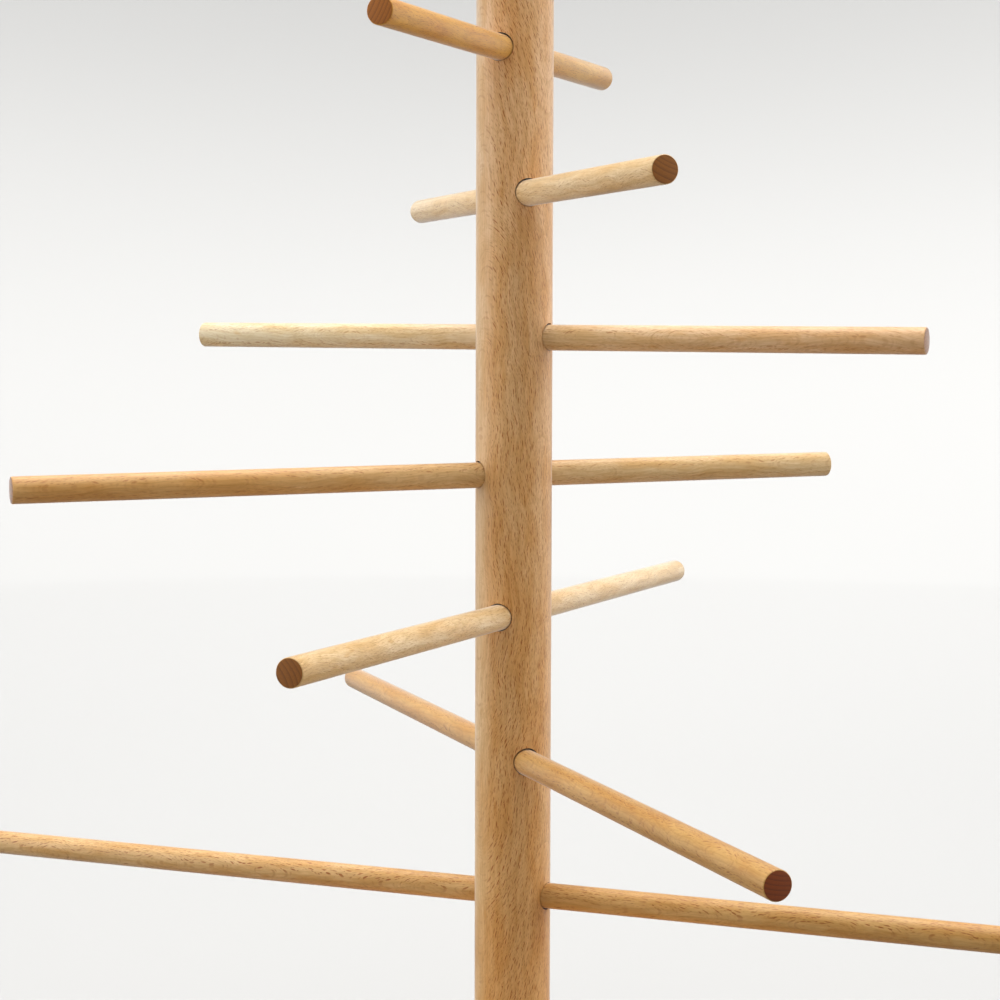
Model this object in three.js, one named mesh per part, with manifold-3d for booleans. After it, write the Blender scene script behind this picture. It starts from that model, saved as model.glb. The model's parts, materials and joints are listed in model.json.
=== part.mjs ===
// A free-standing beech tree: a round trunk on a disc foot, with straight round rods pushed right
// through it one above another, each turned an eighth of a turn from the one above and longer.
// The rods are a loose fit in their bores and slide along them.
//
// Units are millimetres and +Z is up. The origin is on the trunk's axis, on the underside of the
// felt disc that the tree stands on, and +X points along the lowest rod.

import * as THREE from 'three';
import { mergeVertices } from 'three/addons/utils/BufferGeometryUtils.js';
import Module from 'manifold-3d';

const wasm = await Module();
wasm.setup();

// Driving dimensions

const GAP = 0.3;                 // clearance between fixed pieces that touch on the real object
const TRUNK_RADIUS = 15;         // stock 30 mm dowel
const TRUNK_TOP = 700;
const TRUNK_TOP_CHAMFER = 1.5;
const ROD_RADIUS = 5;            // stock 10 mm dowel
const ROD_CHAMFER = 0.5;
const BORE_RADIUS = 5.4;
const BORE_MIN_GAP = 0.17;       // what is left between rod and bore where they come closest
const ROD_PITCH = 55;            // height from one rod to the next
const LOWEST_ROD_Z = 150;
const ROD_TURN = Math.PI / 4;    // each rod points an eighth of a turn on from the one above

// The rods from the top down: cut length, how far each now sits along its own direction from the
// centred position, how many degrees that end is tipped up, and how much too high its bore is.
const RODS = [
  { length: 84, shift: 0, tip: 0, rise: 0, tone: 'honey' },
  { length: 126, shift: 0, tip: 0, rise: 0, tone: 'pale' },
  { length: 168, shift: 0, tip: 0, rise: 0, tone: 'tan' },
  { length: 210, shift: -10.5, tip: 0.85, rise: 0, tone: 'honey' },
  { length: 244, shift: -11.5, tip: 0.47, rise: 0, tone: 'pale' },
  { length: 302, shift: -10.5, tip: 0.58, rise: 0, tone: 'pale' },
  { length: 334, shift: 27, tip: -0.72, rise: 1.5, tone: 'tan' },
  { length: 376, shift: -9, tip: 0.35, rise: 1.5, tone: 'pale' },
  { length: 424, shift: 2.5, tip: -0.24, rise: 0, tone: 'honey' },
  { length: 464, shift: -20, tip: 0.85, rise: 0, tone: 'tan' },
];

const FELT_THICKNESS = 2;
const FELT_RADIUS = 112;
const BASE_RADIUS = 120;
const BASE_THICKNESS = 24;
const BASE_EDGE_RADIUS = 4;
const BASE_FOOT_CHAMFER = 1;
const SOCKET_DEPTH = 12;         // blind socket in the base that takes the trunk's foot
const COUNTERBORE_RADIUS = 12.5;
const COUNTERBORE_DEPTH = 7;
const BOLT_HOLE_RADIUS = 4.5;

const BOLT_RADIUS = 4;           // M8
const BOLT_LENGTH = 35;
const BOLT_HEAD_RADIUS = 8;
const BOLT_HEAD_HEIGHT = 4;
const HEX_KEY_ACROSS_FLATS = 5;
const HEX_KEY_DEPTH = 2.5;
const WASHER_RADIUS = 11;
const WASHER_THICKNESS = 1.6;
const INSERT_RADIUS = 6;
const INSERT_LENGTH = 25;
const INSERT_HOLE_DEPTH = 31;

const TRUNK_SEGMENTS = 64;
const BORE_SEGMENTS = 32;
const ROD_SEGMENTS = 32;
const BASE_SEGMENTS = 72;
const SMALL_SEGMENTS = 32;

// Heights that follow from them

const baseBottom = FELT_THICKNESS + GAP;
const baseTop = baseBottom + BASE_THICKNESS;
const socketFloor = baseTop - SOCKET_DEPTH;
const trunkFoot = socketFloor + GAP;
const counterboreRoof = baseBottom + COUNTERBORE_DEPTH;
const washerBottom = counterboreRoof - GAP - WASHER_THICKNESS;
const boltHeadTop = washerBottom - GAP;
const insertFoot = trunkFoot + GAP;

const COLOURS = {
  trunk: '#cfa884',
  base: '#cba37c',
  honey: '#d3a06a',
  pale: '#dcc19a',
  tan: '#bf9565',
  steel: '#9a9c9e',
  brass: '#b5985a',
  felt: '#6b5a4a',
};

const group = new THREE.Group();

function addPiece(name, geometry, colour, roughness, metalness = 0) {
  const material = new THREE.MeshStandardMaterial({ color: colour, roughness, metalness });
  const mesh = new THREE.Mesh(geometry, material);
  mesh.name = name;
  group.add(mesh);
  return mesh;
}

// A solid of revolution about +Z from a profile of [radius, height] points, listed upwards on the
// outside.
function turned(profile, segments) {
  const points = profile.map(([radius, height]) => new THREE.Vector2(radius, height));
  return new THREE.LatheGeometry(points, segments).rotateX(Math.PI / 2);
}

function cylinder(radius, bottom, top, segments) {
  return turned([[0, bottom], [radius, bottom], [radius, top], [0, top]], segments);
}

function tube(outer, inner, bottom, top, segments) {
  const profile = [[inner, bottom], [outer, bottom], [outer, top], [inner, top], [inner, bottom]];
  return turned(profile, segments);
}

function toSolid(geometry) {
  const plain = geometry.clone();
  plain.deleteAttribute('normal');
  plain.deleteAttribute('uv');
  const merged = mergeVertices(plain, 1e-4);
  const triVerts = Uint32Array.from(merged.index.array);
  const vertProperties = Float32Array.from(merged.attributes.position.array);
  return new wasm.Manifold(new wasm.Mesh({ numProp: 3, vertProperties, triVerts }));
}

function toGeometry(solid) {
  const mesh = solid.getMesh();
  const geometry = new THREE.BufferGeometry();
  geometry.setAttribute('position', new THREE.BufferAttribute(mesh.vertProperties, 3));
  geometry.setIndex(new THREE.BufferAttribute(mesh.triVerts, 1));
  return geometry;
}

function cut(geometry, cutters) {
  let solid = toSolid(geometry);
  for (const cutter of cutters) {
    solid = solid.subtract(toSolid(cutter));
  }
  return toGeometry(solid);
}

// Where each rod lies

function boreHeight(index) {
  return LOWEST_ROD_Z + ROD_PITCH * (RODS.length - 1 - index) + RODS[index].rise;
}

function rodTurn(index) {
  return ROD_TURN * (index - (RODS.length - 1));
}

// A loose rod lies on the floor of its bore, tipped towards its heavier side.
function rodPose(index) {
  const { shift, tip } = RODS[index];
  const slope = THREE.MathUtils.degToRad(tip);
  const drop = BORE_RADIUS - ROD_RADIUS - BORE_MIN_GAP - TRUNK_RADIUS * Math.tan(Math.abs(slope));
  const turn = rodTurn(index);
  const flat = Math.cos(slope);
  const along = new THREE.Vector3(flat * Math.cos(turn), flat * Math.sin(turn), Math.sin(slope));
  const centre = along.clone().multiplyScalar(shift);
  centre.z += boreHeight(index) - drop;
  return { along, centre };
}

// Pieces

function rodGeometry(length) {
  const end = length / 2;
  const rim = ROD_RADIUS - ROD_CHAMFER;
  const profile = [
    [0, -end], [rim, -end], [ROD_RADIUS, ROD_CHAMFER - end],
    [ROD_RADIUS, end - ROD_CHAMFER], [rim, end], [0, end],
  ];
  return turned(profile, ROD_SEGMENTS);
}

function boreCutter(index) {
  const reach = 2 * TRUNK_RADIUS;
  return cylinder(BORE_RADIUS, -reach, reach, BORE_SEGMENTS)
    .rotateY(Math.PI / 2)
    .rotateZ(rodTurn(index))
    .translate(0, 0, boreHeight(index));
}

function trunkGeometry() {
  const rim = TRUNK_RADIUS - TRUNK_TOP_CHAMFER;
  const profile = [
    [0, trunkFoot], [TRUNK_RADIUS, trunkFoot], [TRUNK_RADIUS, TRUNK_TOP - TRUNK_TOP_CHAMFER],
    [rim, TRUNK_TOP], [0, TRUNK_TOP],
  ];
  const insertHole = cylinder(
    INSERT_RADIUS + GAP, trunkFoot - 1, trunkFoot + INSERT_HOLE_DEPTH, SMALL_SEGMENTS,
  );
  const bores = RODS.map((rod, index) => boreCutter(index));
  return cut(turned(profile, TRUNK_SEGMENTS), [insertHole, ...bores]);
}

function baseGeometry() {
  const socketRadius = TRUNK_RADIUS + GAP;
  const profile = [
    [BOLT_HOLE_RADIUS, counterboreRoof],
    [COUNTERBORE_RADIUS, counterboreRoof],
    [COUNTERBORE_RADIUS, baseBottom],
    [BASE_RADIUS - BASE_FOOT_CHAMFER, baseBottom],
    [BASE_RADIUS, baseBottom + BASE_FOOT_CHAMFER],
  ];
  const steps = 6;
  for (let step = 0; step <= steps; step += 1) {
    const angle = (Math.PI / 2) * (step / steps);
    const radius = BASE_RADIUS - BASE_EDGE_RADIUS * (1 - Math.cos(angle));
    profile.push([radius, baseTop - BASE_EDGE_RADIUS * (1 - Math.sin(angle))]);
  }
  profile.push(
    [socketRadius, baseTop],
    [socketRadius, socketFloor],
    [BOLT_HOLE_RADIUS, socketFloor],
    [BOLT_HOLE_RADIUS, counterboreRoof],
  );
  return turned(profile, BASE_SEGMENTS);
}

function boltGeometry() {
  const headBottom = boltHeadTop - BOLT_HEAD_HEIGHT;
  const profile = [
    [0, headBottom], [BOLT_HEAD_RADIUS, headBottom], [BOLT_HEAD_RADIUS, boltHeadTop],
    [BOLT_RADIUS, boltHeadTop], [BOLT_RADIUS, boltHeadTop + BOLT_LENGTH],
    [0, boltHeadTop + BOLT_LENGTH],
  ];
  const hexRadius = HEX_KEY_ACROSS_FLATS / Math.sqrt(3);
  const socket = cylinder(hexRadius, headBottom - 1, headBottom + HEX_KEY_DEPTH, 6);
  return cut(turned(profile, SMALL_SEGMENTS), [socket]);
}

function feltGeometry() {
  const outline = new THREE.Shape().absarc(0, 0, FELT_RADIUS, 0, 2 * Math.PI);
  const options = { depth: FELT_THICKNESS, curveSegments: BASE_SEGMENTS, bevelEnabled: false };
  return new THREE.ExtrudeGeometry(outline, options);
}

// The stand

addPiece('felt_disc', feltGeometry(), COLOURS.felt, 0.95);
addPiece('base_disc', baseGeometry(), COLOURS.base, 0.55);
addPiece('trunk', trunkGeometry(), COLOURS.trunk, 0.55);
addPiece('foot_bolt', boltGeometry(), COLOURS.steel, 0.35, 0.9);
addPiece(
  'foot_washer',
  tube(
    WASHER_RADIUS, BOLT_RADIUS + GAP, washerBottom, washerBottom + WASHER_THICKNESS, SMALL_SEGMENTS,
  ),
  COLOURS.steel, 0.35, 0.9,
);
addPiece(
  'trunk_insert',
  tube(INSERT_RADIUS, BOLT_RADIUS + GAP, insertFoot, insertFoot + INSERT_LENGTH, SMALL_SEGMENTS),
  COLOURS.brass, 0.4, 0.9,
);

// The rods, rod_01 at the top

RODS.forEach((rod, index) => {
  const name = `rod_${String(index + 1).padStart(2, '0')}`;
  const mesh = addPiece(name, rodGeometry(rod.length), COLOURS[rod.tone], 0.55);
  const { along, centre } = rodPose(index);
  mesh.quaternion.setFromUnitVectors(new THREE.Vector3(0, 0, 1), along);
  mesh.position.copy(centre);
});

export default group;
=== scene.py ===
"""A beech dowel tree: a round trunk on a disc foot, with loose round rods pushed through it.

Shapes are in metres, in the CAD frame: the origin is under the felt disc on the trunk's axis, +Z is up and
+X points along the lowest rod. The patterns in the materials are in millimetres.
"""

import json
import math

import bpy
from mathutils import Matrix, Vector


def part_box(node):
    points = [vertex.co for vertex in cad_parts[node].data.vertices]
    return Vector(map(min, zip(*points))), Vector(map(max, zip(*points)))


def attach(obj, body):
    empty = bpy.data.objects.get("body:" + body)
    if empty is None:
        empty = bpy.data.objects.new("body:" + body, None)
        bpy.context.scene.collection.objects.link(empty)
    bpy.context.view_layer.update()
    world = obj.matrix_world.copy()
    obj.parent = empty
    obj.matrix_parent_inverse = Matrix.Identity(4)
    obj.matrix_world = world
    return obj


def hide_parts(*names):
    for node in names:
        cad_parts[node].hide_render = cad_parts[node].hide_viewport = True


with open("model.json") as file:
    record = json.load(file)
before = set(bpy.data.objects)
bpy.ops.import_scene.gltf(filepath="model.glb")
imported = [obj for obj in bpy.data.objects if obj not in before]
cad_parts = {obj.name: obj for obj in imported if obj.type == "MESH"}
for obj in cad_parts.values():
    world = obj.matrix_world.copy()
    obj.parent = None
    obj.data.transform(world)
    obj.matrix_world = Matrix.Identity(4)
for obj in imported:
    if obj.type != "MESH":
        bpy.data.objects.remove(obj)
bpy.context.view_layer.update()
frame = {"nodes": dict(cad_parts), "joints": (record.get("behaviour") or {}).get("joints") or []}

MM = 0.001

# ---------------------------------------------------------------------------------------------
# Camera
# ---------------------------------------------------------------------------------------------

CAMERA_AZIMUTH = math.radians(23.22)   # the camera stands this far round from -Y towards +X
CAMERA_DISTANCE = 812.5 * MM           # from the trunk's axis
CAMERA_HEIGHT = 361.1 * MM
CAMERA_PITCH = math.radians(3.864)     # looks down by this much
CAMERA_YAW = math.radians(-0.377)
CAMERA_ROLL = math.radians(-0.144)
SENSOR_WIDTH = 36.0
FOCAL_SHARE = 2.0747                   # focal length over sensor width


def camera_direction(azimuth, elevation=0.0):
    """The unit vector from the trunk towards a point round it, counted from the camera's side."""
    turn = CAMERA_AZIMUTH + azimuth
    flat = math.cos(elevation)
    return Vector((math.sin(turn) * flat, -math.cos(turn) * flat, math.sin(elevation)))


def make_camera():
    data = bpy.data.cameras.new("camera")
    data.sensor_width = SENSOR_WIDTH
    data.lens = SENSOR_WIDTH * FOCAL_SHARE
    data.clip_start = 0.01
    data.clip_end = 50.0
    camera = bpy.data.objects.new("camera", data)
    turn = CAMERA_AZIMUTH - CAMERA_YAW
    aim = Matrix.Rotation(turn, 4, "Z") @ Matrix.Rotation(math.pi / 2 - CAMERA_PITCH, 4, "X")
    place = camera_direction(0.0) * CAMERA_DISTANCE + Vector((0.0, 0.0, CAMERA_HEIGHT))
    camera.matrix_world = Matrix.Translation(place) @ aim @ Matrix.Rotation(-CAMERA_ROLL, 4, "Z")
    bpy.context.scene.collection.objects.link(camera)
    bpy.context.scene.camera = camera


# ---------------------------------------------------------------------------------------------
# Shader graphs
# ---------------------------------------------------------------------------------------------


class Graph:
    """One material. Each method adds a node and gives back its output socket."""

    def __init__(self, name):
        self.material = bpy.data.materials.new(name)
        self.material.use_nodes = True
        self.tree = self.material.node_tree
        self.tree.nodes.clear()
        self.surface = self.tree.nodes.new("ShaderNodeBsdfPrincipled")
        output = self.tree.nodes.new("ShaderNodeOutputMaterial")
        self.tree.links.new(self.surface.outputs["BSDF"], output.inputs["Surface"])

    def feed(self, socket, value):
        if isinstance(value, bpy.types.NodeSocket):
            self.tree.links.new(value, socket)
        else:
            socket.default_value = value

    def node(self, kind, values, **settings):
        made = self.tree.nodes.new(kind)
        for key, value in settings.items():
            setattr(made, key, value)
        for key, value in values.items():
            self.feed(made.inputs[key], value)
        return made

    def math(self, operation, *values):
        made = self.node("ShaderNodeMath", dict(enumerate(values)), operation=operation)
        return made.outputs[0]

    def vector(self, operation, *values):
        made = self.node("ShaderNodeVectorMath", dict(enumerate(values)), operation=operation)
        return made.outputs["Value" if operation in ("DOT_PRODUCT", "LENGTH") else "Vector"]

    def stretch(self, vector, sizes, seed):
        """The vector divided by one size per axis, moved by the seed."""
        scale = tuple(1.0 / size for size in sizes)
        shift = (seed * 7.31, seed * 3.17, seed * 5.73)
        return self.node(
            "ShaderNodeVectorMath", {0: vector, 1: scale, 2: shift}, operation="MULTIPLY_ADD"
        ).outputs["Vector"]

    def split(self, vector):
        made = self.node("ShaderNodeSeparateXYZ", {0: vector})
        return made.outputs[0], made.outputs[1], made.outputs[2]

    def join(self, x, y, z):
        return self.node("ShaderNodeCombineXYZ", {0: x, 1: y, 2: z}).outputs[0]

    def noise(self, vector, detail, roughness=0.5):
        values = {"Vector": vector, "Scale": 1.0, "Detail": detail, "Roughness": roughness}
        return self.node("ShaderNodeTexNoise", values)

    def cloud(self, spot, sizes, detail, roughness=0.5, seed=0.0):
        """A noise with one size per axis, from zero to one."""
        return self.noise(self.stretch(spot, sizes, seed), detail, roughness).outputs["Fac"]

    def cells(self, vector):
        return self.node("ShaderNodeTexVoronoi", {"Vector": vector, "Scale": 1.0})

    def span(self, value, low, high, start=0.0, end=1.0):
        """The value taken smoothly from start at low to end at high, and held outside them."""
        values = {"Value": value, "From Min": low, "From Max": high, "To Min": start, "To Max": end}
        made = self.node("ShaderNodeMapRange", values, interpolation_type="SMOOTHSTEP")
        return made.outputs["Result"]

    def blend(self, factor, first, second, mode="MIX"):
        made = self.node("ShaderNodeMix", {}, data_type="RGBA", blend_type=mode)
        self.feed(made.inputs["Factor"], factor)
        for socket, value in ((made.inputs[6], first), (made.inputs[7], second)):
            self.feed(socket, value if isinstance(value, bpy.types.NodeSocket) else (*value, 1.0))
        return made.outputs[2]

    def bump(self, height, distance, strength):
        values = {"Height": height, "Distance": distance, "Strength": strength}
        return self.node("ShaderNodeBump", values).outputs["Normal"]

    def place(self):
        """The point on the piece, in millimetres, in the piece's own axes."""
        spot = self.node("ShaderNodeTexCoord", {}).outputs["Object"]
        return self.node("ShaderNodeVectorMath", {0: spot, "Scale": 1000.0}, operation="SCALE").outputs[0]

    def facing(self):
        """The surface's direction, in the piece's own axes."""
        return self.node("ShaderNodeTexCoord", {}).outputs["Normal"]


# ---------------------------------------------------------------------------------------------
# Wood
# ---------------------------------------------------------------------------------------------

# Linear colours of plain beech, from the least saturated to the most.
IVORY = (0.960, 0.800, 0.530)
CREAM = (0.880, 0.670, 0.400)
STRAW = (0.820, 0.580, 0.295)
BUFF = (0.880, 0.550, 0.280)
SAND = (0.800, 0.505, 0.220)
OAT = (0.790, 0.440, 0.150)
HONEY = (0.700, 0.400, 0.128)
AMBER = (0.650, 0.365, 0.106)
GOLD = (0.715, 0.405, 0.090)
GINGER = (0.730, 0.365, 0.055)

# These multiply the colour of the wood round them.
WARM_PATCH = (0.92, 0.82, 0.64)
ORANGE_SPOT = (0.85, 0.68, 0.42)
DARK_RAY = (0.52, 0.23, 0.06)
PAINTED_SHEEN_TINT = (0.96, 1.12, 1.42)       # painted sheen: the side of the trunk nearest the pith made paler and whiter, for the whitish sheen along its left edge as the camera sees it
BORE_PAINTED_SHADE = (0.10, 0.06, 0.045)       # painted shade: the bore walls made dark, for the shade in the narrow gap round each rod

# Linear colours of sawn ends, which are darker than the wood's sides.
TAN_END = (0.435, 0.137, 0.012)
BROWN_END = (0.335, 0.114, 0.013)
DARK_END = (0.255, 0.048, 0.001)

# All lengths in the wood are in millimetres. Sizes are given round the rings, from ring to ring and
# along the grain, or across, across and along it for what doesn't follow the rings.
RING_WIDTH = 1.7
RING_UNEVENNESS = 9.0     # over this distance the rings grow closer and wider
FIBRE_SIZES = (0.3, 0.5, 7.0)
STREAK_SIZES = (1.5, 3.0, 38.0)
PATCH_SIZES = (6.5, 6.5, 26.0)
SPOT_SIZES = (3.5, 3.5, 9.0)
SLOW_STRAY = {"sizes": (50.0, 50.0, 90.0), "reach": 14.0}
QUICK_STRAY = {"sizes": (40.0, 40.0, 24.0), "reach": 6.0}
SWING_LENGTH = 115.0      # along the grain, for one radian of its swing from side to side
SWING_START = -273.0
PAINTED_SHEEN_REACH = 6.0         # either side of the trunk's axis, where the painted sheen gives way to the rest
HIGHEST_BORE = 680.0      # every cross bore lies below this
BORE_WALL = (14.3, 14.9)  # from the trunk's axis, where a bore's wall gives way to the trunk's side

# Rays stand one to a cell of these sizes. The weight is how dark the small ones are beside the tall.
TALL_RAYS = {"sizes": (1.25, 16.0, 3.4), "half_width": 0.14, "half_height": 1.75}
SMALL_RAYS = {"sizes": (0.62, 6.0, 1.9), "half_width": 0.09, "half_height": 0.85}
SMALL_RAY_WEIGHT = 0.75

# The low and high value of a noise, and the shade at each.
FIBRE_SHADES = (0.25, 0.75, 0.86, 1.08)
STREAK_SHADES = (0.3, 0.7, 0.92, 1.05)
END_FIBRE_SHADES = (0.3, 0.7, 0.88, 1.08)

# The low and high value of a noise between which a patch or a spot appears, and its strength at each.
PATCH_RISE = (0.38, 0.66)
SPOT_RISE = (0.66, 0.78, 0.0, 0.6)

# The cosines between which a face comes to show rays, or to be an end, and how much it is so at each.
RAY_FACES = (0.15, 0.6, 0.25, 1.0)
END_FACES = (0.80, 0.97)

# The shade of a ring's inner wood, and how much darker its outer edge is, on the sides and on the ends.
SIDE_RINGS = (1.04, 0.15)
END_RINGS = (1.08, 0.45)


def tint(graph, color, factors):
    return graph.blend(1.0, color, factors, "MULTIPLY")


def warm_shade(graph, color, shade):
    """The colour times the shade, redder where it is darker."""
    factors = graph.join(graph.math("POWER", shade, 0.7), shade, graph.math("POWER", shade, 1.7))
    return tint(graph, color, factors)


def stray(graph, spot, sizes, reach, seed):
    """The point moved across the grain by a slow noise, by up to half the reach either way."""
    noise = graph.noise(graph.stretch(spot, sizes, seed), 1.0).outputs["Color"]
    offset = graph.vector("SUBTRACT", noise, (0.5, 0.5, 0.5))
    return graph.vector("ADD", spot, graph.vector("MULTIPLY", offset, (reach, reach, 0.0)))


def grain_lines(graph, spot, pith, swing, seed):
    """The point's place round the rings, its distance from the pith and its place along the grain.

    The grain swings from side to side by swing, so the rays lean one way and then the other.
    """
    spot = stray(graph, spot, seed=seed, **SLOW_STRAY)
    spot = stray(graph, spot, seed=seed + 8.0, **QUICK_STRAY)
    x, y, along = graph.split(spot)
    x = graph.math("SUBTRACT", x, pith[0])
    y = graph.math("SUBTRACT", y, pith[1])
    radius = graph.vector("LENGTH", graph.join(x, y, 0.0))
    arc = graph.math("MULTIPLY", graph.math("ARCTAN2", y, x), math.hypot(*pith))
    phase = graph.math("DIVIDE", graph.math("SUBTRACT", along, SWING_START), SWING_LENGTH)
    return graph.math("MULTIPLY_ADD", graph.math("SINE", phase), swing, arc), radius, along


def spindles(graph, lines, sizes, half_width, half_height, seed):
    """Rays: short upright spindles where the surface follows the rings."""
    spot = graph.stretch(lines, sizes, seed)
    cell = graph.cells(spot)
    away = graph.vector("ABSOLUTE", graph.vector("SUBTRACT", spot, cell.outputs["Position"]))
    across, _, up = graph.split(away)
    across = graph.math("DIVIDE", across, half_width / sizes[0])
    up = graph.math("DIVIDE", up, half_height / sizes[2])
    outline = graph.math("ADD", across, graph.math("MULTIPLY", up, up))
    pick = graph.split(cell.outputs["Color"])[0]
    return graph.math("MULTIPLY", graph.span(outline, 1.0, 0.3), graph.span(pick, 0.1, 0.6, 0.2, 1.0))


class Beech(Graph):
    """Solid beech, sanded and bare.

    The pith is where the tree's heart would be, across the grain. The grain runs along the piece's own Z,
    or along its own X where grain is "x".
    """

    def __init__(self, name, seed, pith, swing, grain):
        super().__init__(name)
        self.seed = seed
        self.pith = pith
        self.spot = self.stand_up(self.place(), grain)
        self.face = self.stand_up(self.facing(), grain)
        arc, self.radius, self.along = grain_lines(self, self.spot, pith, swing, seed)
        self.lines = self.join(arc, self.radius, self.along)
        self.away = self.vector("SUBTRACT", self.spot, self.join(pith[0], pith[1], self.along))
        self.ring = self.late_wood()
        self.fibre = self.cloud(self.lines, FIBRE_SIZES, 3.0, 0.6, seed)
        self.tall = spindles(self, self.lines, seed=seed, **TALL_RAYS)
        self.small = spindles(self, self.lines, seed=seed + 2.0, **SMALL_RAYS)
        self.end = self.span(self.math("ABSOLUTE", self.split(self.face)[2]), *END_FACES)

    def stand_up(self, vector, grain):
        """The vector with its part along the grain last."""
        if grain == "z":
            return vector
        x, y, z = self.split(vector)
        return self.join(z, y, x)

    def late_wood(self):
        """Rises towards one at the outer edge of each ring."""
        inward = self.join(self.radius, 0.0, 0.0)
        uneven = self.cloud(inward, (RING_UNEVENNESS, 1.0, 1.0), 1.0, seed=self.seed)
        drift = self.math("MULTIPLY", uneven, 2.0)
        count = self.math("MULTIPLY_ADD", self.radius, 1.0 / RING_WIDTH, drift)
        return self.math("POWER", self.math("FRACT", count), 3.0)

    def with_painted_sheen(self, color):
        """The colour with a painted sheen: paler and whiter on the side nearest the pith."""
        heart = math.hypot(*self.pith)
        depth = self.vector("LENGTH", self.away)
        # painted sheen, strongest on the side of the trunk nearest the pith
        sheen_mask = self.span(depth, heart - PAINTED_SHEEN_REACH, heart + PAINTED_SHEEN_REACH, 1.0, 0.0)
        return self.blend(sheen_mask, color, tint(self, color, PAINTED_SHEEN_TINT))

    def mottled(self, plain):
        """The plain colour with warm patches and small orange spots."""
        patch = self.cloud(self.spot, PATCH_SIZES, 3.0, seed=self.seed + 1.0)
        spots = self.cloud(self.spot, SPOT_SIZES, 1.0, seed=self.seed + 5.0)
        color = self.blend(self.span(patch, *PATCH_RISE), plain, tint(self, plain, WARM_PATCH))
        return self.blend(self.span(spots, *SPOT_RISE), color, tint(self, plain, ORANGE_SPOT))

    def ringed(self, shade, depth):
        """A shade that is darker at the outer edge of each ring."""
        return self.math("SUBTRACT", shade, self.math("MULTIPLY", self.ring, depth))

    def shaded(self, color):
        """The colour with its rings, fibres and streaks."""
        streak = self.cloud(self.lines, STREAK_SIZES, 2.0, seed=self.seed)
        shade = self.ringed(*SIDE_RINGS)
        shade = self.math("MULTIPLY", shade, self.span(self.fibre, *FIBRE_SHADES))
        shade = self.math("MULTIPLY", shade, self.span(streak, *STREAK_SHADES))
        return warm_shade(self, color, shade)

    def rayed(self, color, strength):
        """The colour with rays as dark dashes, weaker on the faces that cut along them."""
        across = self.vector("NORMALIZE", self.away)
        square = self.math("ABSOLUTE", self.vector("DOT_PRODUCT", self.face, across))
        follow = self.span(square, *RAY_FACES)
        mark = self.math("MAXIMUM", self.tall, self.math("MULTIPLY", self.small, SMALL_RAY_WEIGHT))
        mark = self.math("MULTIPLY", self.math("MULTIPLY", mark, follow), strength)
        return self.blend(mark, color, tint(self, color, DARK_RAY))

    def sawn_across(self, color, sawn):
        """The colour with darker ends, where the rings show."""
        shade = self.ringed(*END_RINGS)
        shade = self.math("MULTIPLY", shade, self.span(self.fibre, *END_FIBRE_SHADES))
        return self.blend(self.end, color, tint(self, sawn, self.join(shade, shade, shade)))

    def with_painted_bore_shade(self, color):
        """The colour with painted shade: darker on the walls of the trunk's cross bores, which lie inside
        its own radius.
        """
        x, y, z = self.split(self.place())
        inside = self.span(self.vector("LENGTH", self.join(x, y, 0.0)), *BORE_WALL, 1.0, 0.0)
        # painted shade on the bore walls, below the highest bore
        bore_shade_mask = self.math("MULTIPLY", inside, self.math("LESS_THAN", z, HIGHEST_BORE))
        return self.blend(bore_shade_mask, color, tint(self, color, BORE_PAINTED_SHADE))

    def finish(self, color):
        """A sanded surface of this colour, matter on the ends."""
        self.feed(self.surface.inputs["Base Color"], color)
        self.surface.inputs["Specular IOR Level"].default_value = 0.45
        self.surface.inputs["Sheen Weight"].default_value = 0.7
        self.surface.inputs["Sheen Roughness"].default_value = 0.3
        side = self.span(self.fibre, 0.2, 0.8, 0.40, 0.52)
        self.feed(self.surface.inputs["Roughness"], self.math("MULTIPLY_ADD", self.end, 0.15, side))
        fuzz = self.math("MULTIPLY", self.fibre, 0.6)
        relief = self.math("SUBTRACT", fuzz, self.math("MULTIPLY", self.tall, 0.5))
        self.feed(self.surface.inputs["Normal"], self.bump(relief, 0.06 * MM, 0.5))


def beech(
    name, tones, reach, seed, pith, swing=3.0, rays=0.7, sawn=BROWN_END, grain="z", is_trunk=False
):
    """Beech for one piece. The two tones are its colour at either end of the reach along the grain."""
    wood = Beech(name, seed, pith, swing, grain)
    color = wood.blend(wood.span(wood.along, *reach), *tones)
    # the trunk gets a painted sheen on one side
    if is_trunk:
        color = wood.with_painted_sheen(color)
    color = wood.shaded(wood.mottled(color))
    color = wood.sawn_across(wood.rayed(color, rays), sawn)
    # the trunk's bore walls get painted shade
    if is_trunk:
        color = wood.with_painted_bore_shade(color)
    wood.finish(color)
    return wood.material


# ---------------------------------------------------------------------------------------------
# Felt, metal and paper
# ---------------------------------------------------------------------------------------------


def felt():
    graph = Graph("felt")
    spot = graph.place()
    tuft = graph.cloud(spot, (0.9, 0.9, 0.9), 4.0, 0.7)
    blotch = graph.cloud(spot, (14.0, 14.0, 14.0), 2.0)
    color = graph.blend(graph.span(tuft, 0.3, 0.7), (0.070, 0.048, 0.034), (0.150, 0.110, 0.080))
    color = graph.blend(graph.span(blotch, 0.35, 0.65, 0.0, 0.3), color, (0.060, 0.045, 0.035))
    graph.feed(graph.surface.inputs["Base Color"], color)
    graph.feed(graph.surface.inputs["Roughness"], graph.span(tuft, 0.2, 0.8, 0.85, 1.0))
    graph.surface.inputs["Sheen Weight"].default_value = 0.4
    graph.feed(graph.surface.inputs["Normal"], graph.bump(tuft, 0.4 * MM, 0.8))
    return graph.material


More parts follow.
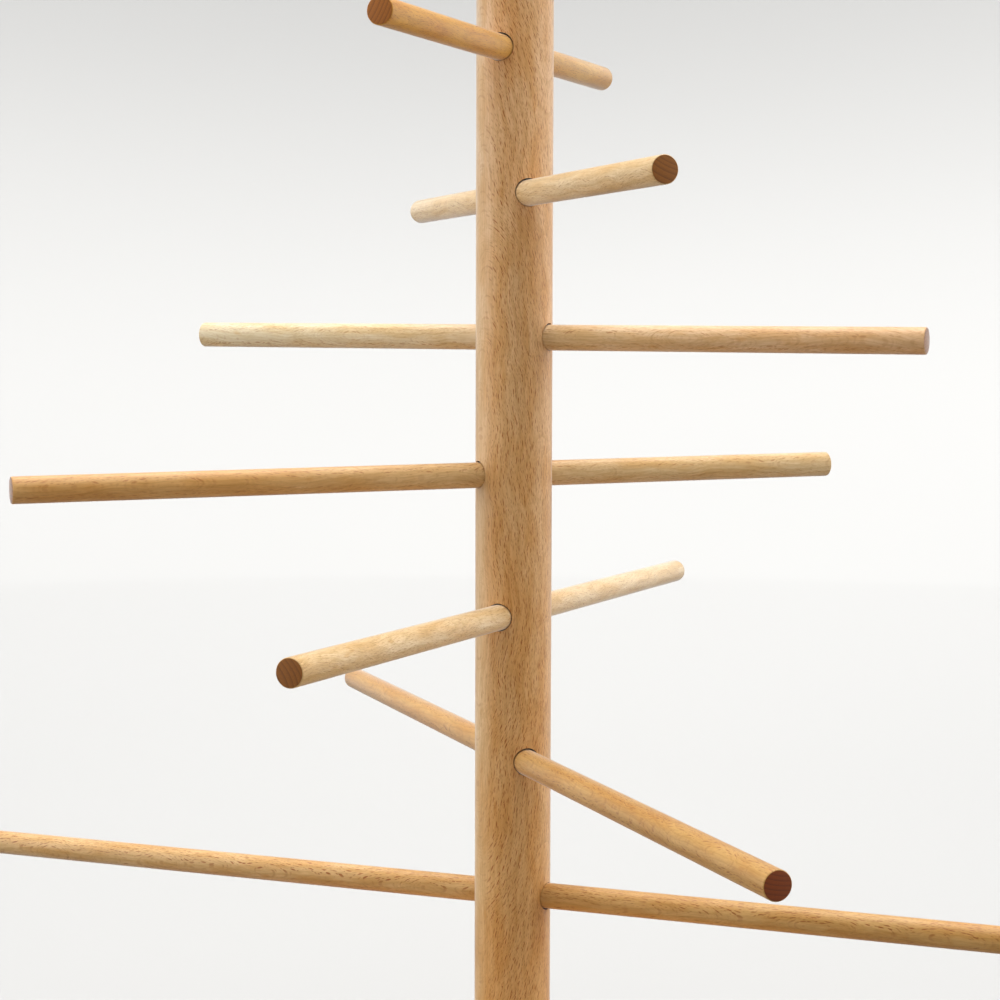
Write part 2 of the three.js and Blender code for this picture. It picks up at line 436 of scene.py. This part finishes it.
def turned_metal(name, light, dark):
    """Metal in two tones, with fine lines round it from the lathe."""
    graph = Graph(name)
    spot = graph.place()
    lines = graph.cloud(spot, (3.0, 3.0, 0.12), 3.0, 0.6)
    stain = graph.cloud(spot, (4.0, 4.0, 4.0), 3.0)
    color = graph.blend(graph.span(stain, 0.35, 0.7), light, dark)
    graph.feed(graph.surface.inputs["Base Color"], color)
    graph.surface.inputs["Metallic"].default_value = 1.0
    graph.feed(graph.surface.inputs["Roughness"], graph.span(lines, 0.3, 0.7, 0.24, 0.42))
    graph.feed(graph.surface.inputs["Normal"], graph.bump(lines, 0.02 * MM, 0.5))
    return graph.material


# Distances from the tree and heights over which the paper's painted shade changes, and the shade at each
# end
NEAR_PAINTED_SHADE = (900.0, 2800.0, 0.97, 1.0)
HEIGHT_PAINTED_SHADE = (300.0, 1100.0, 1.0, 0.90)


def paper_backdrop():
    """Matt white paper, with painted shade: a little darker near the tree and up the wall."""
    graph = Graph("backdrop_paper")
    spot = graph.place()
    tooth = graph.cloud(spot, (900.0, 900.0, 900.0), 2.0)
    color = graph.blend(tooth, (0.526, 0.523, 0.513), (0.541, 0.538, 0.528))
    x, y, height = graph.split(spot)
    near = graph.span(graph.vector("LENGTH", graph.join(x, y, 0.0)), *NEAR_PAINTED_SHADE)
    # painted shade: darker near the tree and up the wall
    painted_shade = graph.math("MULTIPLY", near, graph.span(height, *HEIGHT_PAINTED_SHADE))
    graph.feed(graph.surface.inputs["Base Color"], tint(graph, color, graph.join(painted_shade, painted_shade, painted_shade)))
    graph.surface.inputs["Roughness"].default_value = 0.9
    graph.surface.inputs["Specular IOR Level"].default_value = 0.2
    return graph.material


# ---------------------------------------------------------------------------------------------
# Meshes
# ---------------------------------------------------------------------------------------------


SHARP_ANGLE = math.radians(40)


def arc_points(center, radius, start, end, steps):
    """Points of [radius, height] round a circular arc, angles in degrees."""
    points = []
    for step in range(steps + 1):
        angle = math.radians(start + (end - start) * step / steps)
        points.append((center[0] + radius * math.cos(angle), center[1] + radius * math.sin(angle)))
    return points


def revolve(name, profile, segments, looped=False):
    """A solid of revolution about Z. Its profile runs up the outside and closes on the axis or itself."""
    vertices, rings = [], []
    for radius, height in profile:
        if radius == 0.0:
            rings.append([len(vertices)] * segments)
            vertices.append((0.0, 0.0, height))
        else:
            rings.append(list(range(len(vertices), len(vertices) + segments)))
            for step in range(segments):
                angle = 2 * math.pi * step / segments
                vertices.append((radius * math.cos(angle), radius * math.sin(angle), height))
    faces = []
    pairs = list(zip(rings, rings[1:])) + ([(rings[-1], rings[0])] if looped else [])
    for lower, upper in pairs:
        for step in range(segments):
            after = (step + 1) % segments
            corners = [lower[step], lower[after], upper[after], upper[step]]
            faces.append(list(dict.fromkeys(corners)))
    mesh = bpy.data.meshes.new(name)
    mesh.from_pydata(vertices, [], faces)
    return mesh


def smooth(mesh):
    """Shaded smooth, but for its sharp edges."""
    mesh.shade_smooth()
    mesh.set_sharp_from_angle(angle=SHARP_ANGLE)
    return mesh


def add_piece(mesh, material, body, node, matrix=Matrix.Identity(4)):
    """A finished piece that stands for one CAD node: it joins that node's body, and the node is hidden."""
    piece = bpy.data.objects.new(mesh.name, mesh)
    mesh.materials.append(material)
    bpy.context.scene.collection.objects.link(piece)
    piece.matrix_world = matrix
    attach(piece, body)
    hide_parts(node)


def subtract(mesh, cutter_meshes):
    """The mesh less the cutters, with the modifier applied."""
    target = bpy.data.objects.new("cut_target", mesh)
    bpy.context.scene.collection.objects.link(target)
    cutters = []
    for cutter_mesh in cutter_meshes:
        cutter = bpy.data.objects.new("cutter", cutter_mesh)
        bpy.context.scene.collection.objects.link(cutter)
        cutters.append(cutter)
        modifier = target.modifiers.new("cut", "BOOLEAN")
        modifier.operation = "DIFFERENCE"
        modifier.solver = "EXACT"
        modifier.object = cutter
    graph = bpy.context.evaluated_depsgraph_get()
    result = bpy.data.meshes.new_from_object(target.evaluated_get(graph))
    result.name = mesh.name
    for extra in (target, *cutters):
        bpy.data.objects.remove(extra)
    return result


# ---------------------------------------------------------------------------------------------
# The tree
# ---------------------------------------------------------------------------------------------

ROD_RADIUS = 5.0 * MM
ROD_EDGE = 0.5 * MM
BORE_RADIUS = 5.4 * MM
BORE_MIN_GAP = 0.17 * MM
TRUNK_RADIUS = 15.0 * MM
TRUNK_EDGE = 1.5 * MM
INSERT_HOLE_RADIUS = 6.3 * MM
INSERT_HOLE_DEPTH = 31.0 * MM

ROD_SIDES = 96
TRUNK_SIDES = 256
DISC_SIDES = 192
HOLE_SIDES = 48
FIRST_ROD_SEED = 10.0
ROD_SEED_STEP = 3.7

# From the top rod down: the wood's tone at either end, the pith's place across the rod in millimetres, how
# dark the rays are and the tone of the sawn ends. The tones are the wood's own, but some ends that lie away
# from the camera, as rod_06's IVORY end, are paler in part as painted light from behind
ROD_LOOKS = {
    "rod_01": ((SAND, HONEY), (22.0, 9.0), 0.65, BROWN_END),
    "rod_02": ((CREAM, STRAW), (-30.0, 14.0), 0.6, BROWN_END),
    "rod_03": ((HONEY, SAND), (12.0, -26.0), 0.65, TAN_END),
    "rod_04": ((GINGER, GOLD), (30.0, 10.0), 0.65, TAN_END),
    "rod_05": ((STRAW, CREAM), (-14.0, 34.0), 0.6, BROWN_END),
    # rod_06's IVORY end is partly painted light: paler for the light from behind
    "rod_06": ((BUFF, IVORY), (8.0, 40.0), 0.7, BROWN_END),
    "rod_07": ((STRAW, OAT), (4.0, -32.0), 0.7, BROWN_END),
    "rod_08": ((CREAM, STRAW), (-28.0, -18.0), 0.6, BROWN_END),
    "rod_09": ((HONEY, AMBER), (10.0, 30.0), 0.9, DARK_END),
    "rod_10": ((SAND, HONEY), (3.0, -30.0), 1.0, BROWN_END),
}


def joint_axis(body):
    found = next(joint for joint in frame["joints"] if joint["child"] == body)
    return Vector(found["axis"]).normalized()


def rod_place(node):
    """A rod's centre, its direction and half its length, from its CAD node."""
    axis = joint_axis(node)
    points = [vertex.co for vertex in frame["nodes"][node].data.vertices]
    reach = [point.dot(axis) for point in points]
    low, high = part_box(node)
    return (low + high) / 2, axis, (max(reach) - min(reach)) / 2


def upright(axis, center):
    """The transform that stands a piece made along Z on the axis, centred there."""
    return Matrix.Translation(center) @ axis.to_track_quat("Z", "Y").to_matrix().to_4x4()


def make_rod(index, node):
    tones, pith, rays, sawn = ROD_LOOKS[node]
    center, axis, half = rod_place(node)
    edge = (ROD_RADIUS - ROD_EDGE, half - ROD_EDGE)
    top = arc_points(edge, ROD_EDGE, 0, 90, 4)
    bottom = [(radius, -height) for radius, height in reversed(top)]
    profile = [(0.0, -half), *bottom, *top, (0.0, half)]
    mesh = smooth(revolve(f"{node}_dowel", profile, ROD_SIDES))
    reach = (-half / MM, half / MM)
    seed = FIRST_ROD_SEED + ROD_SEED_STEP * index
    material = beech(f"beech_{node}", tones, reach, seed, pith, rays=rays, sawn=sawn)
    add_piece(mesh, material, node, node, upright(axis, center))


def bore_cutter(index, node):
    """A rod's bore. It is level, and the rod, which may lean, keeps the least gap at its lower mouth."""
    center, axis, _ = rod_place(node)
    flat = Vector((axis.x, axis.y, 0.0))
    level = center.z - axis.z / flat.length * center.dot(flat.normalized())
    tipped = TRUNK_RADIUS * abs(axis.z) / flat.length
    drop = BORE_RADIUS - ROD_RADIUS - BORE_MIN_GAP - tipped
    reach = 2 * TRUNK_RADIUS
    profile = [(0.0, -reach), (BORE_RADIUS, -reach), (BORE_RADIUS, reach), (0.0, reach)]
    mesh = revolve(f"bore_{index}", profile, ROD_SIDES)
    mesh.transform(upright(flat.normalized(), Vector((0.0, 0.0, level + drop))))
    return mesh


def make_trunk():
    low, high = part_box("trunk")
    rim = arc_points((TRUNK_RADIUS - TRUNK_EDGE, high.z - TRUNK_EDGE), TRUNK_EDGE, 0, 90, 5)
    profile = [(0.0, low.z), (TRUNK_RADIUS, low.z), *rim, (0.0, high.z)]
    hole_top = low.z + INSERT_HOLE_DEPTH
    hole_low = low.z - MM
    hole = [
        (0.0, hole_low),
        (INSERT_HOLE_RADIUS, hole_low),
        (INSERT_HOLE_RADIUS, hole_top),
        (0.0, hole_top),
    ]
    cutters = [bore_cutter(index, node) for index, node in enumerate(ROD_LOOKS)]
    cutters.append(revolve("insert_hole", hole, HOLE_SIDES))
    mesh = smooth(subtract(revolve("trunk_dowel", profile, TRUNK_SIDES), cutters))
    reach = (low.z / MM, high.z / MM)
    material = beech(
        "beech_trunk", (OAT, BUFF), reach, seed=1.0, pith=(-43.0, 13.0), swing=20.0, rays=1.0, is_trunk=True
    )
    add_piece(mesh, material, "stand", "trunk")


def make_base():
    low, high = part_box("base_disc")
    radius = high.x
    edge, chamfer = 4.0 * MM, 1.0 * MM
    socket, socket_depth, socket_chamfer = 15.3 * MM, 12.0 * MM, 0.5 * MM
    bolt_hole = 4.5 * MM
    counterbore, counterbore_depth = 12.5 * MM, 7.0 * MM
    profile = [
        (bolt_hole, low.z + counterbore_depth),
        (counterbore, low.z + counterbore_depth),
        (counterbore, low.z),
        (radius - chamfer, low.z),
        (radius, low.z + chamfer),
        *arc_points((radius - edge, high.z - edge), edge, 0, 90, 8),
        (socket + socket_chamfer, high.z),
        (socket, high.z - socket_chamfer),
        (socket, high.z - socket_depth),
        (bolt_hole, high.z - socket_depth),
    ]
    mesh = smooth(revolve("base_board", profile, DISC_SIDES, looped=True))
    reach = (low.x / MM, high.x / MM)
    material = beech("beech_base", (HONEY, OAT), reach, seed=2.0, pith=(-90.0, 20.0), grain="x")
    add_piece(mesh, material, "stand", "base_disc")


def make_felt():
    low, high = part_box("felt_disc")
    radius, edge = high.x, 0.6 * MM
    profile = [
        (0.0, low.z),
        (radius - edge, low.z),
        (radius, low.z + edge),
        (radius, high.z - edge),
        (radius - edge, high.z),
        (0.0, high.z),
    ]
    add_piece(smooth(revolve("felt_sheet", profile, DISC_SIDES)), felt(), "stand", "felt_disc")


def dress_fasteners():
    steel = turned_metal("zinc_plated_steel", (0.62, 0.63, 0.66), (0.48, 0.49, 0.50))
    brass = turned_metal("insert_brass", (0.72, 0.55, 0.26), (0.55, 0.38, 0.16))
    for node, material in (("foot_bolt", steel), ("foot_washer", steel), ("trunk_insert", brass)):
        mesh = frame["nodes"][node].data
        mesh.materials.clear()
        mesh.materials.append(material)


# ---------------------------------------------------------------------------------------------
# Studio
# ---------------------------------------------------------------------------------------------

FLOOR_RADIUS = 1.0
SWEEP_RADIUS = 2.8
WALL_TOP = 4.5
SWEEP_STEPS = 48
BOWL_SIDES = 128


def make_stage():
    """A white bowl round the tree: a level floor that sweeps up into a wall, open at the top.

    It is hidden from diffuse and glossy rays, so that it doesn't tint the wood.
    """
    sweep = arc_points((FLOOR_RADIUS, SWEEP_RADIUS), SWEEP_RADIUS, -90, 0, SWEEP_STEPS)
    profile = [(0.0, 0.0), (FLOOR_RADIUS / 2, 0.0), *sweep, (FLOOR_RADIUS + SWEEP_RADIUS, WALL_TOP)]
    mesh = revolve("studio_bowl", profile, BOWL_SIDES)
    mesh.shade_smooth()
    mesh.materials.append(paper_backdrop())
    bowl = bpy.data.objects.new("studio_bowl", mesh)
    bpy.context.scene.collection.objects.link(bowl)
    bowl.visible_diffuse = False
    bowl.visible_glossy = False
    return bowl


# Azimuth from the camera's side and elevation in degrees, distance from the middle, width and height, and
# radiance. Washes also have the azimuth, distance and height that they point at.
SOFTBOXES = {
    "ceiling_softbox": (0, 90, 2.65, (3.2, 3.2), 0.5),
    "top_softbox": (180, 88, 1.05, (0.9, 0.9), 2.6),
    "front_softbox": (0, 62, 1.6, (0.9, 0.6), 2.0),
}
TREE_SOFTBOXES = {        # these light everything but the backdrop
    "left_rim_softbox": (-125, 5, 1.5, (0.9, 1.6), 0.8),
    "right_rim_softbox": (125, 5, 1.5, (0.9, 1.6), 1.5),
    "left_side_softbox": (-85, 12, 1.7, (0.9, 1.6), 3.0),
    "right_side_softbox": (85, 12, 1.7, (0.9, 1.6), 2.4),
}
WASHES = {
    "middle_wash": (180, 62, 2.5, (2.6, 0.8), 6.2, (180, 1.6, 0.0)),
    "left_wash": (-150, 35, 2.4, (0.8, 0.8), 3.4, (-165, 2.6, 0.4)),
    "right_wash": (150, 35, 2.4, (0.8, 0.8), 4.8, (165, 2.6, 0.4)),
}
MIDDLE = Vector((0.0, 0.0, 0.35))
AIR_LIGHT = 0.33          # radiance from every side
DOME_LIGHT = 1.7          # irradiance from overhead, on the backdrop alone
DOME_ANGLE = math.radians(150)          # how wide the sky is that it comes from


def add_softbox(name, azimuth, elevation, distance, size, radiance, target=MIDDLE):
    data = bpy.data.lights.new(name, "AREA")
    data.shape = "RECTANGLE"
    data.size, data.size_y = size
    data.energy = math.pi * size[0] * size[1] * radiance
    light = bpy.data.objects.new(name, data)
    place = MIDDLE + camera_direction(math.radians(azimuth), math.radians(elevation)) * distance
    turn = (target - place).to_track_quat("-Z", "Y").to_matrix().to_4x4()
    light.matrix_world = Matrix.Translation(place) @ turn
    light.visible_camera = False
    bpy.context.scene.collection.objects.link(light)
    return light


def add_dome():
    """An even light from overhead."""
    data = bpy.data.lights.new("dome_light", "SUN")
    data.energy = DOME_LIGHT
    data.angle = DOME_ANGLE
    light = bpy.data.objects.new("dome_light", data)
    light.visible_camera = False
    bpy.context.scene.collection.objects.link(light)
    return light


def limit(light, bowl, state):
    """Light everything but the backdrop where the state is EXCLUDE, or only the backdrop for INCLUDE."""
    receivers = bpy.data.collections.new(f"{light.name}_receivers")
    receivers.objects.link(bowl)
    receivers.collection_objects[0].light_linking.link_state = state
    light.light_linking.receiver_collection = receivers


def make_lights(bowl):
    for name, softbox in SOFTBOXES.items():
        add_softbox(name, *softbox)
    for name, softbox in TREE_SOFTBOXES.items():
        limit(add_softbox(name, *softbox), bowl, "EXCLUDE")
    limit(add_dome(), bowl, "INCLUDE")
    for name, (*softbox, (azimuth, reach, height)) in WASHES.items():
        target = camera_direction(math.radians(azimuth)) * reach + Vector((0.0, 0.0, height))
        add_softbox(name, *softbox, target)
    world = bpy.data.worlds.new("studio_air")
    bpy.context.scene.world = world
    world.use_nodes = True
    background = world.node_tree.nodes["Background"]
    background.inputs["Color"].default_value = (1.0, 1.0, 1.0, 1.0)
    background.inputs["Strength"].default_value = AIR_LIGHT
    bpy.context.scene.view_settings.view_transform = "Standard"


make_camera()
make_lights(make_stage())
make_trunk()
make_base()
make_felt()
dress_fasteners()
for number, rod in enumerate(ROD_LOOKS):
    make_rod(number, rod)
